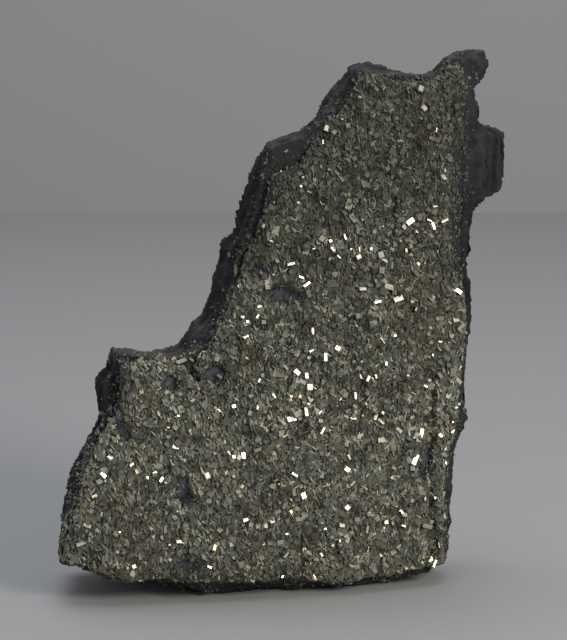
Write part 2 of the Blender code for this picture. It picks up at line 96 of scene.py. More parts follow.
def startTree(piece, name):  # a Geometry Nodes modifier with its way in and its way out
    tree = bpy.data.node_groups.new(name, "GeometryNodeTree")
    tree.interface.new_socket("Geometry", in_out="INPUT", socket_type="NodeSocketGeometry")
    tree.interface.new_socket("Geometry", in_out="OUTPUT", socket_type="NodeSocketGeometry")
    source = addNode(tree, "NodeGroupInput").outputs[0]
    result = addNode(tree, "NodeGroupOutput").inputs[0]
    piece.modifiers.new(name, "NODES").node_group = tree
    return tree, source, result


def makeActive(piece):
    bpy.ops.object.select_all(action="DESELECT")
    piece.select_set(True)
    bpy.context.view_layer.objects.active = piece


def applyModifiers(piece):
    makeActive(piece)
    for modifier in list(piece.modifiers):
        bpy.ops.object.modifier_apply(modifier=modifier.name)


def copyOfNode(nodeName, name):  # a welded copy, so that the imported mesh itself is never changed
    piece = bpy.data.objects.new(name, frame["nodes"][nodeName].data.copy())
    bpy.context.scene.collection.objects.link(piece)
    makeActive(piece)
    bpy.ops.object.mode_set(mode="EDIT")
    bpy.ops.mesh.select_all(action="SELECT")
    bpy.ops.mesh.remove_doubles(threshold=1e-6)
    bpy.ops.object.mode_set(mode="OBJECT")
    return piece


def giveMaterial(piece, material):
    piece.data.materials.clear()
    piece.data.materials.append(material)


def triangleCount(piece):
    return sum(len(polygon.vertices) - 2 for polygon in piece.data.polygons)


def ovalMask(tree, mm, ovals, edge):  # 1 inside the ovals and 0 outside, with a soft edge that wide
    mask = None
    for across, up, halfWidth, halfHeight, turn in ovals:
        away = addNode(tree, "ShaderNodeVectorMath", {0: mm, 1: (across, 0, up)}, operation="SUBTRACT")
        values = {"Vector": away, "Angle": math.radians(turn)}
        turned = addNode(tree, "ShaderNodeVectorRotate", values, rotation_type="Y_AXIS")
        values = {0: turned, 1: (1 / halfWidth, 0, 1 / halfHeight)}
        shrunk = addNode(tree, "ShaderNodeVectorMath", values, operation="MULTIPLY")
        length = addNode(tree, "ShaderNodeVectorMath", {0: shrunk}, operation="LENGTH").outputs["Value"]
        values = {0: length, 1: 1 + edge, 2: 1 - edge}
        inside = addNode(tree, "ShaderNodeMapRange", values, interpolation_type="SMOOTHSTEP")
        if mask:
            inside = addNode(tree, "ShaderNodeMath", {0: mask, 1: inside}, operation="MAXIMUM")
        mask = inside
    return mask.outputs[0]


def scaledOvals(ovals, share):  # the same ovals about their own middles, larger or smaller
    return [(across, up, wide * share, high * share, turn) for across, up, wide, high, turn in ovals]


def waver(tree, mm):  # the same places, shifted by noise, so that an oval's edge wanders
    shift = addNode(tree, "ShaderNodeTexNoise", {"Vector": mm, "Scale": 0.45, "Detail": 3.0}).outputs["Color"]
    values = {0: shift, 1: (5, 5, 5), 2: (-2.5, -2.5, -2.5)}
    shift = addNode(tree, "ShaderNodeVectorMath", values, operation="MULTIPLY_ADD")
    return addNode(tree, "ShaderNodeVectorMath", {0: mm, 1: shift})


# Places on the front, in mm: across, up, half width, half height, turn in degrees

barePatches = [
    (-23.4, 68.6, 3.4, 2.5, 20), (-36.6, 66.6, 2.0, 2.6, 0),
    (-32.6, 33.6, 1.9, 5.0, 8), (-31.4, 11.6, 3.2, 1.8, 5),
    (40.8, 38.0, 1.7, 5.6, -8), (-3.0, 92.0, 5.4, 2.4, -6),
    (-50.0, 52.6, 1.5, 3.8, 12), (-10.4, 99.0, 3.0, 2.0, 25),
]
creases = [
    (43.2, 48.0, 1.3, 15.0, -2), (43.7, 20.0, 1.4, 12.0, 2),
    (2.3, 15.0, 1.1, 9.0, -1), (13.0, 12.5, 1.2, 8.0, 1),
    (26.5, 9.5, 1.0, 6.0, 0), (30.0, 121.0, 1.0, 18.0, -3), (19.8, 60.0, 0.9, 14.0, -4),
]
cracks = [(-29.4, 68.6, 0.35, 7.0, 24), (-33.4, 75.5, 2.6, 1.6, 0)]
laminaEdges = [
    (60.4, 131.0, 9.0, 16.0, 0), (54.9, 98.0, 4.5, 30.0, -3),
    (-17.6, 116.0, 5.0, 16.0, -16), (-55.6, 66.0, 5.0, 10.0, 0),
]
grownToTheEdge = [
    (-60.6, 24.0, 14.0, 34.0, -12), (-8.6, 2.0, 62.0, 8.0, 0),
    (49.4, 28.0, 9.0, 34.0, 0), (19.4, 146.0, 20.0, 6.0, 8),
]
rustStains = [
    (-45.6, 16.0, 8.0, 9.0, 0), (-52.6, 30.0, 4.0, 9.0, 0),
    (3.8, 118.0, 2.5, 3.0, 0), (39.4, 84.0, 9.0, 14.0, 0),
    (37.4, 140.0, 6.0, 10.0, 0), (29.4, 22.0, 8.0, 6.0, 0), (-12.6, 72.0, 5.0, 5.0, 0),
]
fadingEdges = [
    (-11.2, 114.0, 4.0, 17.0, -17), (-2.4, 130.4, 7.5, 4.0, -15),
    (52.4, 118.0, 4.5, 24.0, 0), (-52.0, 66.0, 2.5, 9.0, 0),
]


# Materials

shaleLook = dict(
    darkBand="1e2124", lightBand="373a3e", gap="0d0e10", patch="575d65", paleOnUpFaces="66645c", rust="4a382c",
    bandsPerMm=0.55, warpPerMm=0.06, mottlePerMm=0.42, paleOnUpFacesPerMm=0.15, rustPerMm=0.045, grainPerMm=1.6,
    gapShare=0.8, dustShare=0.7, rustShare=0.4, roughness=0.8, ior=1.42, bump=0.75, bumpMm=0.5,
)
pyriteLook = dict(
    deepTarnish="6f716a", tarnishAndTopShade="95988d", brass="b0aea0", fresh="dcd7c8", golden="d8c9a4",
    dusk="5a5654", duskShare=0.6, duskPerMm=0.17, khaki="8f8a68", khakiShare=0.35, khakiPerMm=0.26,
    rust="75604a", rustShare=0.45, rustPerMm=0.23, rustRoughens=0.3, dustShare=0.5,
    # painted shade: a darker colour mixed into the faces toward the top, from 55 to 150 mm up
    crest="43443e", crestShare=0.47, crestFromMm=55, crestToMm=150,
    roughness=(0.1, 0.6), striaePerFace=9, grainPerMm=0.9, bump=(0.03, 0.4), bumpMm=0.1,
)
bedLook = dict(
    dark="31322d", light="6a6b63", shale="292b2d", patch="575d65", grainPerMm=1.6, blotchPerMm=0.3,
    metallic=0.5, roughness=0.5, bump=0.8, patchBump=0.35, bumpMm=0.3,
)


def makeShaleMaterial():  # black shale, split along its bedding: dull, blue-grey, banded on broken edges
    look = shaleLook
    material = bpy.data.materials.new("blackShaleSplit")
    material.use_nodes = True
    tree = material.node_tree
    shader = tree.nodes["Principled BSDF"]
    place = addNode(tree, "ShaderNodeTexCoord").outputs["Object"]
    warp = addNode(
        tree, "ShaderNodeTexNoise", {"Vector": place, "Scale": look["warpPerMm"] * 1000, "Detail": 3.0},
    ).outputs["Color"]
    bandScale = (look["warpPerMm"] * 1000, look["bandsPerMm"] * 1000, look["warpPerMm"] * 1000)
    bedding = addNode(
        tree, "ShaderNodeVectorMath", {0: place, 1: bandScale, 2: warp}, operation="MULTIPLY_ADD",
    )
    bands = addNode(
        tree, "ShaderNodeTexNoise", {"Vector": bedding, "Scale": 1.0, "Detail": 5.0, "Roughness": 0.7},
    ).outputs[0]
    colour = addNode(
        tree, "ShaderNodeValToRGB", {0: bands},
        stops=[(0.36, toLinear(look["darkBand"])), (0.64, toLinear(look["lightBand"]))],
    )
    edgeLine = addNode(tree, "ShaderNodeAttribute", attribute_name="laminaEdge").outputs["Fac"]
    edgeLine = addNode(tree, "ShaderNodeMath", {0: edgeLine, 1: look["gapShare"]}, operation="MULTIPLY")
    colour = addNode(
        tree, "ShaderNodeMix", {0: edgeLine, 6: colour, 7: toLinear(look["gap"])}, data_type="RGBA",
    )
    patch = addNode(tree, "ShaderNodeAttribute", attribute_name="barePatch").outputs["Fac"]
    mottled = addNode(
        tree, "ShaderNodeTexNoise", {"Vector": place, "Scale": look["mottlePerMm"] * 1000, "Detail": 4.0},
    ).outputs[0]
    mottled = addNode(tree, "ShaderNodeMapRange", {0: mottled, 1: 0.35, 2: 0.6, 3: 0.4, 4: 1.0})
    mottled = addNode(tree, "ShaderNodeMath", {0: patch, 1: mottled}, operation="MULTIPLY")
    colour = addNode(
        tree, "ShaderNodeMix", {0: mottled, 6: colour, 7: toLinear(look["patch"])}, data_type="RGBA",
    )
    normal = addNode(tree, "ShaderNodeNewGeometry").outputs["Normal"]
    up = addNode(tree, "ShaderNodeSeparateXYZ", {0: normal}).outputs[2]
    # paler grey mixed in on faces that point up, in blotches
    blotch = addNode(
        tree, "ShaderNodeTexNoise",
        {"Vector": place, "Scale": look["paleOnUpFacesPerMm"] * 1000, "Detail": 6.0, "Roughness": 0.65},
    )
    lying = addNode(tree, "ShaderNodeMapRange", {0: up, 1: 0.35, 2: 0.9})
    paleBlotches = addNode(tree, "ShaderNodeMapRange", {0: blotch, 1: 0.4, 2: 0.64, 4: look["dustShare"]})
    paleOnUpFaces = addNode(tree, "ShaderNodeMath", {0: lying, 1: paleBlotches}, operation="MULTIPLY")
    colour = addNode(tree, "ShaderNodeMix", {0: paleOnUpFaces, 6: colour, 7: toLinear(look["paleOnUpFaces"])}, data_type="RGBA")
    iron = addNode(
        tree, "ShaderNodeTexNoise", {"Vector": place, "Scale": look["rustPerMm"] * 1000, "Detail": 4.0},
    ).outputs[0]
    iron = addNode(tree, "ShaderNodeMapRange", {0: iron, 1: 0.56, 2: 0.78, 4: look["rustShare"]})
    colour = addNode(tree, "ShaderNodeMix", {0: iron, 6: colour, 7: toLinear(look["rust"])}, data_type="RGBA")
    tree.links.new(colour.outputs[2], shader.inputs["Base Color"])
    rough = addNode(
        tree, "ShaderNodeMapRange", {0: bands, 3: look["roughness"] + 0.08, 4: look["roughness"] - 0.14},
    )
    tree.links.new(rough.outputs[0], shader.inputs["Roughness"])
    shader.inputs["IOR"].default_value = look["ior"]
    grain = addNode(
        tree, "ShaderNodeTexNoise",
        {"Vector": place, "Scale": look["grainPerMm"] * 1000, "Detail": 4.0, "Roughness": 0.7},
    ).outputs[0]
    relief = addNode(tree, "ShaderNodeMath", {0: grain, 1: bands})
    values = {"Strength": look["bump"], "Distance": look["bumpMm"] / 1000, "Height": relief}
    bump = addNode(tree, "ShaderNodeBump", values)
    tree.links.new(bump.outputs[0], shader.inputs["Normal"])
    return material


def makePyriteMaterial():  # grown pyrite: hard metallic faces, brassy where fresh, grey-olive where tarnished, with painted shade darkening them toward the top
    look = pyriteLook
    material = bpy.data.materials.new("pyriteCrystalFaces")
    material.use_nodes = True
    tree = material.node_tree
    shader = tree.nodes["Principled BSDF"]
    place = addNode(tree, "ShaderNodeTexCoord").outputs["Object"]
    mm = addNode(tree, "ShaderNodeVectorMath", {0: place, 1: (1000, 1000, 1000)}, operation="MULTIPLY")
    tint = addNode(tree, "ShaderNodeAttribute", attribute_name="crystalTint").outputs["Fac"]
    colour = addNode(
        tree, "ShaderNodeValToRGB", {0: tint},
        stops=[
            (0.0, toLinear(look["deepTarnish"])), (0.35, toLinear(look["tarnishAndTopShade"])),
            (0.75, toLinear(look["brass"])), (0.97, toLinear(look["fresh"])), (1.0, toLinear(look["golden"])),
        ],
    )
    for stain in ("dusk", "khaki"):  # stains some millimetres wide, across the crystals
        scale = look[stain + "PerMm"] * 1000
        shade = addNode(
            tree, "ShaderNodeTexNoise", {"Vector": place, "Scale": scale, "Detail": 3.0},
        ).outputs[0]
        shade = addNode(tree, "ShaderNodeMapRange", {0: shade, 1: 0.5, 2: 0.66, 4: look[stain + "Share"]})
        colour = addNode(
            tree, "ShaderNodeMix", {0: shade, 6: colour, 7: toLinear(look[stain])}, data_type="RGBA",
        )
    blotch = addNode(
        tree, "ShaderNodeTexNoise", {"Vector": place, "Scale": look["rustPerMm"] * 1000, "Detail": 4.0},
    ).outputs[0]
    patchy = addNode(tree, "ShaderNodeMapRange", {0: blotch, 1: 0.42, 2: 0.62})
    stained = ovalMask(tree, mm, rustStains, 0.6)
    rust = addNode(tree, "ShaderNodeMath", {0: patchy, 1: stained}, operation="MULTIPLY")
    rust = addNode(tree, "ShaderNodeMath", {0: rust, 1: look["rustShare"]}, operation="MULTIPLY")
    colour = addNode(tree, "ShaderNodeMix", {0: rust, 6: colour, 7: toLinear(look["rust"])}, data_type="RGBA")
    dusted = ovalMask(tree, mm, barePatches, 0.4)
    dusted = addNode(tree, "ShaderNodeMath", {0: dusted, 1: look["dustShare"]}, operation="MULTIPLY")
    colour = addNode(
        tree, "ShaderNodeMix", {0: dusted, 6: colour, 7: toLinear(bedLook["patch"])}, data_type="RGBA",
    )
    # painted shade: the faces darken toward the top, mixed with a darker colour by height
    up = addNode(tree, "ShaderNodeSeparateXYZ", {0: mm}).outputs[2]
    values = {0: up, 1: look["crestFromMm"], 2: look["crestToMm"], 4: look["crestShare"]}
    crest = addNode(tree, "ShaderNodeMapRange", values)
    colour = addNode(
        tree, "ShaderNodeMix", {0: crest, 6: colour, 7: toLinear(look["crest"])}, data_type="RGBA",
    )
    tree.links.new(colour.outputs[2], shader.inputs["Base Color"])
    shader.inputs["Metallic"].default_value = 1
    dull = addNode(tree, "ShaderNodeAttribute", attribute_name="crystalDull").outputs["Fac"]
    rough = addNode(tree, "ShaderNodeMapRange", {0: dull, 3: look["roughness"][0], 4: look["roughness"][1]})
    rough = addNode(
        tree, "ShaderNodeMath", {0: rust, 1: look["rustRoughens"], 2: rough}, operation="MULTIPLY_ADD",
    )
    tree.links.new(rough.outputs[0], shader.inputs["Roughness"])
    onFace = addNode(tree, "ShaderNodeUVMap", uv_map="UVMap").outputs[0]
    values = {"Vector": onFace, "Scale": look["striaePerFace"], "Distortion": 1.5, "Detail": 2.0}
    striae = addNode(tree, "ShaderNodeTexWave", values, bands_direction="X").outputs["Fac"]
    grain = addNode(
        tree, "ShaderNodeTexNoise", {"Vector": place, "Scale": look["grainPerMm"] * 1000, "Detail": 2.0},
    ).outputs[0]
    relief = addNode(tree, "ShaderNodeMath", {0: striae, 1: 0.3, 2: grain}, operation="MULTIPLY_ADD")
    pitted = addNode(
        tree, "ShaderNodeMapRange", {0: dull, 1: 0.2, 2: 0.8, 3: look["bump"][0], 4: look["bump"][1]},
    )
    bump = addNode(
        tree, "ShaderNodeBump", {"Strength": pitted, "Distance": look["bumpMm"] / 1000, "Height": relief},
    )
    tree.links.new(bump.outputs[0], shader.inputs["Normal"])
    return material


def makeBedMaterial():  # massive fine pyrite between the crystals: dark, dull and granular
    look = bedLook
    material = bpy.data.materials.new("massivePyriteBed")
    material.use_nodes = True
    tree = material.node_tree
    shader = tree.nodes["Principled BSDF"]
    place = addNode(tree, "ShaderNodeTexCoord").outputs["Object"]
    grain = addNode(
        tree, "ShaderNodeTexVoronoi", {"Vector": place, "Scale": look["grainPerMm"] * 1000},
    ).outputs[0]
    blotch = addNode(
        tree, "ShaderNodeTexNoise", {"Vector": place, "Scale": look["blotchPerMm"] * 1000, "Detail": 4.0},
    ).outputs[0]
    colour = addNode(
        tree, "ShaderNodeValToRGB", {0: blotch},
        stops=[(0.3, toLinear(look["dark"])), (0.7, toLinear(look["light"]))],
    )
    fading = addNode(tree, "ShaderNodeAttribute", attribute_name="fading").outputs["Fac"]
    colour = addNode(
        tree, "ShaderNodeMix", {0: fading, 6: colour, 7: toLinear(look["shale"])}, data_type="RGBA",
    )
    patch = addNode(tree, "ShaderNodeAttribute", attribute_name="barePatch").outputs["Fac"]
    mottled = addNode(tree, "ShaderNodeMapRange", {0: blotch, 1: 0.35, 2: 0.6, 3: 0.45, 4: 1.0})
    mottled = addNode(tree, "ShaderNodeMath", {0: patch, 1: mottled}, operation="MULTIPLY")
    colour = addNode(
        tree, "ShaderNodeMix", {0: mottled, 6: colour, 7: toLinear(look["patch"])}, data_type="RGBA",
    )
    tree.links.new(colour.outputs[2], shader.inputs["Base Color"])
    metal = addNode(tree, "ShaderNodeMapRange", {0: patch, 3: look["metallic"], 4: 0.0})
    tree.links.new(metal.outputs[0], shader.inputs["Metallic"])
    shader.inputs["Roughness"].default_value = look["roughness"]
    bumpy = addNode(tree, "ShaderNodeMapRange", {0: patch, 3: look["bump"], 4: look["patchBump"]})
    bump = addNode(
        tree, "ShaderNodeBump", {"Strength": bumpy, "Distance": look["bumpMm"] / 1000, "Height": grain},
    )
    tree.links.new(bump.outputs[0], shader.inputs["Normal"])
    return material


# The shale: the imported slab, remeshed fine and broken along its bedding

shaleForm = dict(  # mm, noise per mm along x, y and z, and two shares
    voxel=0.72, sideBands=1.2, sideNoise=(0.05, 0.42, 0.05), fineBands=0.5, fineNoise=(0.12, 1.3, 0.12),
    hackle=1.0, hackleNoise=(0.07, 0.07, 0.07), frontHackle=0.55, grain=0.3, grainNoise=(0.7, 0.7, 0.7),
    laminaDepth=0.5, laminaNoise=(0.8 / 1.2, 0.3, 0.035), patchRise=1.9, patchWider=1.2,
)


def makeShale(material):
    form = shaleForm
    piece = copyOfNode("shale_slab", "shaleRock")
    remesh = piece.modifiers.new("fineSkin", "REMESH")
    remesh.mode = "VOXEL"
    remesh.voxel_size = form["voxel"] / 1000
    tree, source, result = startTree(piece, "brokenBedding")
    position = addNode(tree, "GeometryNodeInputPosition").outputs[0]
    mm = addNode(
        tree, "ShaderNodeVectorMath", {0: position, 1: (1000, 1000, 1000)}, operation="MULTIPLY",
    ).outputs[0]
    normal = addNode(tree, "GeometryNodeInputNormal").outputs[0]
    facing = addNode(tree, "ShaderNodeSeparateXYZ", {0: normal}).outputs[1]
    flat = addNode(tree, "ShaderNodeMath", {0: facing}, operation="ABSOLUTE")
    flat = addNode(
        tree, "ShaderNodeMapRange", {0: flat, 1: 0.4, 2: 0.8}, interpolation_type="SMOOTHSTEP",
    ).outputs[0]

    def noiseAlong(stretch, detail, **settings):  # noise on millimetres, stretched per axis
        stretched = addNode(tree, "ShaderNodeVectorMath", {0: mm, 1: stretch}, operation="MULTIPLY")
        values = {"Vector": stretched, "Scale": 1.0, "Detail": detail, "Roughness": 0.6, **settings}
        return addNode(tree, "ShaderNodeTexNoise", values).outputs[0]

    def spread(value, step, low, high):  # noise snapped to steps and spread over a range of heights in mm
        if step:
            value = addNode(tree, "ShaderNodeMath", {0: value, 1: step}, operation="SNAP")
        return addNode(tree, "ShaderNodeMapRange", {0: value, 1: 0.28, 2: 0.72, 3: low, 4: high}).outputs[0]

    coarse = spread(noiseAlong(form["sideNoise"], 2.0), 0.08, -form["sideBands"], form["sideBands"])
    fine = spread(noiseAlong(form["fineNoise"], 3.0), 0.05, -form["fineBands"], form["fineBands"])
    bands = addNode(tree, "ShaderNodeMath", {0: coarse, 1: fine})
    hackleDepth = addNode(
        tree, "ShaderNodeMapRange", {0: facing, 1: -0.5, 2: 0.5, 3: form["frontHackle"], 4: 1.0},
    )
    flakes = spread(noiseAlong(form["hackleNoise"], 3.0, Distortion=0.6), 0.06, -2 * form["hackle"], 0.0)
    flakes = addNode(tree, "ShaderNodeMath", {0: flakes, 1: hackleDepth}, operation="MULTIPLY")
    rise = addNode(tree, "ShaderNodeMix", {0: flat, 2: bands, 3: flakes})
    grain = spread(noiseAlong(form["grainNoise"], 4.0), 0, -form["grain"], form["grain"])
    rise = addNode(tree, "ShaderNodeMath", {0: rise, 1: grain})
    lines = noiseAlong(form["laminaNoise"], 2.0)
    lines = addNode(tree, "ShaderNodeMapRange", {0: lines, 1: 0.56, 2: 0.4})
    lines = addNode(
        tree, "ShaderNodeMath", {0: lines, 1: ovalMask(tree, mm, laminaEdges, 0.3)}, operation="MULTIPLY",
    )
    rise = addNode(
        tree, "ShaderNodeMath", {0: lines, 1: -form["laminaDepth"], 2: rise}, operation="MULTIPLY_ADD",
    )
    front = addNode(tree, "ShaderNodeMapRange", {0: facing, 1: -0.3, 2: -0.7})
    patch = ovalMask(tree, mm, scaledOvals(barePatches, form["patchWider"]), 0.3)
    patch = addNode(tree, "ShaderNodeMath", {0: patch, 1: front}, operation="MULTIPLY")
    rise = addNode(
        tree, "ShaderNodeMath", {0: patch, 1: form["patchRise"], 2: rise}, operation="MULTIPLY_ADD",
    )
    rise = addNode(tree, "ShaderNodeMath", {0: rise, 1: 0.001}, operation="MULTIPLY").outputs[0]
    offset = addNode(tree, "ShaderNodeVectorMath", {0: normal, "Scale": rise}, operation="SCALE")
    moved = addNode(tree, "ShaderNodeVectorMath", {0: position, 1: offset})
    moved = addNode(tree, "ShaderNodeVectorMath", {0: moved, 1: tuple(cadLow)}, operation="MAXIMUM")
    moved = addNode(tree, "ShaderNodeVectorMath", {0: moved, 1: tuple(cadHigh)}, operation="MINIMUM")
    noted = source
    for attribute, value in (("barePatch", patch), ("laminaEdge", lines)):
        noted = addNode(
            tree, "GeometryNodeStoreNamedAttribute", {"Geometry": noted, "Name": attribute, "Value": value},
            data_type="FLOAT", domain="POINT",
        )
    broken = addNode(tree, "GeometryNodeSetPosition", {"Geometry": noted, "Position": moved})
    tree.links.new(broken.outputs[0], result)
    applyModifiers(piece)
    bpy.ops.object.shade_smooth()
    giveMaterial(piece, material)
    print("shale:", triangleCount(piece), "triangles")
    return piece


# The druse: a granular bed, and on it crystals of several kinds

bedForm = dict(voxel=0.9, smoothing=9, creaseDepth=1.0, fadeDepth=0.5, rooted=1.3)  # mm, smoothing in rounds
crystalKinds = {  # proportions of the block, share that is bevelled, and how far its end narrows
    "cube": dict(block=(1, 1, 1), bevel=0, narrow=(1, 1)),
    "longBlock": dict(block=(0.7, 1.5, 0.85), bevel=0, narrow=(1, 1)),
    "blade": dict(block=(0.34, 1.5, 1.1), bevel=0, narrow=(1, 0.8)),
    "wedge": dict(block=(0.9, 1.2, 1), bevel=0, narrow=(0.45, 1)),
    "cutCube": dict(block=(1, 1, 1), bevel=0.13, narrow=(1, 1)),
    "needle": dict(block=(0.2, 1.7, 0.5), bevel=0, narrow=(1, 0.85)),
    "flake": dict(block=(1, 1.35, 0.3), bevel=0, narrow=(0.85, 0.85)),
}
crystalLayers = {  # spacing, size and lift in mm, and the most that a crystal turns about its axes in degrees
    "bladedCrystals": dict(
        kinds=("blade", "longBlock"), spacing=0.7, size=(0.7, 1.35), turn=(22, 65, 34), lean=8, lift=0.0,
        seed=3, bareShare=0.7, thin=0.5, tint=(0.1, 0.62), dull=(0.75, 1.0),
    ),
    "blockyCrystals": dict(
        kinds=("cube", "longBlock", "wedge"), spacing=1.9, size=(0.8, 1.55), turn=(180, 180, 180), lean=0,
        lift=0.05, seed=11, bareShare=0.7, thin=0.5, tint=(0.2, 0.85), dull=(0.6, 1.0),
    ),
    "needleCrystals": dict(
        kinds=("needle",), spacing=1.15, size=(0.8, 1.5), turn=(18, 30, 75), lean=0, lift=0.15,
        seed=41, bareShare=0.8, thin=0.6, tint=(0.5, 0.95), dull=(0.5, 0.95),
    ),
    "flakeCrystals": dict(
        kinds=("flake",), spacing=2.6, size=(1.1, 2.2), turn=(14, 14, 180), lean=0, lift=0.15,
        seed=53, bareShare=0.9, thin=0.4, tint=(0.0, 0.5), dull=(0.85, 1.0),
    ),
    "largeCrystals": dict(
        kinds=("cutCube", "longBlock", "wedge"), spacing=2.2, size=(0.9, 1.9), turn=(30, 30, 180), lean=0,
        lift=0.2, seed=23, bareShare=1.1, tint=(0.5, 0.95), dull=(0.25, 0.6),
        toward=(0.16, -0.92, 0.35), clustered=(0.03, 0.14),
    ),
    "brightCrystals": dict(
        kinds=("cutCube", "wedge", "longBlock"), spacing=2.0, size=(0.8, 1.9), turn=(9, 9, 180), lean=0,
        lift=0.25, seed=29, bareShare=1.1, tint=(0.8, 1.0), dull=(0.0, 0.45),
        toward=(0.16, -0.92, 0.35), clustered=(0.02, 0.22),
    ),
}
shaleLayers = {  # on the shale beside the druse: how far from it in mm, and how much further in some places
    "rimCrystals": dict(
        kinds=("blade", "wedge", "cube"), spacing=0.75, size=(0.5, 1.0), turn=(180, 180, 180), lean=0,
        lift=-0.2, seed=37, bareShare=1.0, thin=0.3, tint=(0.0, 0.5), dull=(0.6, 1.0),
        reach=(3.5, 9.0), further=9.0, furtherAt=grownToTheEdge,
    ),
    "seamCrystals": dict(
        kinds=("blade", "needle", "longBlock"), spacing=0.55, size=(0.6, 1.2), turn=(40, 65, 60), lean=0,
        lift=0.1, seed=61, bareShare=0.4, thin=0.8, tint=(0.1, 0.7), dull=(0.7, 1.0),
        reach=(1.3, 2.8), further=7.0, furtherAt=fadingEdges,
    ),
}
growth = dict(  # for every layer: falls of density in places, and what changes with place, with noise per mm
    most=4e6, patchFall=0.85, creaseFall=0.5, fadeFall=0.3, crackFall=1.0, overEdge=0.6, reachNoise=0.08,
    thinNoise=0.3, unevenLift=(-0.3, 0.2), stretch=((0.75, 0.8, 0.8), (1.25, 1.2, 1.2)), smallness=1.8,
    swell=(0.8, 1.2), swellNoise=0.09, fadeShrinks=0.35, fadeDarkens=0.5,
    # painted shade: the tint falls from 1.12 to 0.6 times between 50 and 140 mm up, so the crystals darken
    # toward the top
    paintedShadeUp=(1.12, 0.6), paintedShadeFromTo=(50, 140), tintPatches=(0.65, 1.2), tintNoise=0.07,
    dullUp=(0.0, 0.3), dullFromTo=(80, 150), clusterNoise=0.12,
    clusterUp=(1.0, 0.8), clusterFromTo=(80, 140), clusterAcross=(0.4, 1.0), clusterLeftToRight=(-50, 5),
)


def makeBed(material):
    piece = copyOfNode("pyrite_crust", "pyriteBed")
    remesh = piece.modifiers.new("fineSkin", "REMESH")
    remesh.mode = "VOXEL"
    remesh.voxel_size = bedForm["voxel"] / 1000
    smooth = piece.modifiers.new("worn", "SMOOTH")
    smooth.factor = 0.5
    smooth.iterations = bedForm["smoothing"]
    tree, source, result = startTree(piece, "sunkPlaces")
    position = addNode(tree, "GeometryNodeInputPosition").outputs[0]
    mm = addNode(
        tree, "ShaderNodeVectorMath", {0: position, 1: (1000, 1000, 1000)}, operation="MULTIPLY",
    ).outputs[0]
    fading = ovalMask(tree, waver(tree, mm), fadingEdges, 0.5)
    normal = addNode(tree, "GeometryNodeInputNormal").outputs[0]
    facing = addNode(tree, "ShaderNodeSeparateXYZ", {0: normal}).outputs[1]
    front = addNode(tree, "ShaderNodeMapRange", {0: facing, 1: -0.1, 2: -0.6})
    crease = ovalMask(tree, waver(tree, mm), creases, 0.5)
    sunk = addNode(tree, "ShaderNodeMath", {0: crease, 1: bedForm["creaseDepth"]}, operation="MULTIPLY")
    sunk = addNode(
        tree, "ShaderNodeMath", {0: fading, 1: bedForm["fadeDepth"], 2: sunk}, operation="MULTIPLY_ADD",
    )
    sunk = addNode(tree, "ShaderNodeMath", {0: sunk, 1: front}, operation="MULTIPLY")
    values = {0: facing, 1: -0.1, 2: 0.5, 4: bedForm["rooted"]}  # the back of the bed goes into the shale
    rooted = addNode(tree, "ShaderNodeMapRange", values)
    inward = addNode(tree, "ShaderNodeMath", {0: sunk, 1: rooted})
    inward = addNode(
        tree, "ShaderNodeVectorMath", {0: (0, 0.001, 0), "Scale": inward.outputs[0]}, operation="SCALE",
    )
    noted = source
    patch = ovalMask(tree, waver(tree, mm), barePatches, 0.5)
    for attribute, value in (("fading", fading), ("barePatch", patch)):
        noted = addNode(
            tree, "GeometryNodeStoreNamedAttribute", {"Geometry": noted, "Name": attribute, "Value": value},
            data_type="FLOAT", domain="POINT",
        )
    sunken = addNode(tree, "GeometryNodeSetPosition", {"Geometry": noted, "Offset": inward})
    tree.links.new(sunken.outputs[0], result)
    applyModifiers(piece)
    bpy.ops.object.shade_smooth()
    giveMaterial(piece, material)
    print("bed:", triangleCount(piece), "triangles")
    return piece


def makeCrystalKind(name, collection):  # one small closed crystal, a metre across and about the origin
    kind = crystalKinds[name]
    bpy.ops.object.select_all(action="DESELECT")
    bpy.ops.mesh.primitive_cube_add(size=1)
    crystal = bpy.context.object
    crystal.name = name
    bpy.ops.object.mode_set(mode="EDIT")
    bpy.ops.mesh.select_all(action="DESELECT")
    bpy.ops.object.mode_set(mode="OBJECT")
    for vertex in crystal.data.vertices:
        vertex.select = vertex.co.z > 0
    bpy.ops.object.mode_set(mode="EDIT")
    bpy.ops.transform.resize(value=(*kind["narrow"], 1), center_override=(0, 0, 0))
    bpy.ops.mesh.select_all(action="SELECT")
    if kind["bevel"]:
        bpy.ops.mesh.bevel(offset=kind["bevel"], segments=1, affect="EDGES")
    bpy.ops.transform.resize(value=kind["block"], center_override=(0, 0, 0))
    bpy.ops.object.mode_set(mode="OBJECT")
    for owner in list(crystal.users_collection):
        owner.objects.unlink(crystal)
    collection.objects.link(crystal)
    return crystal


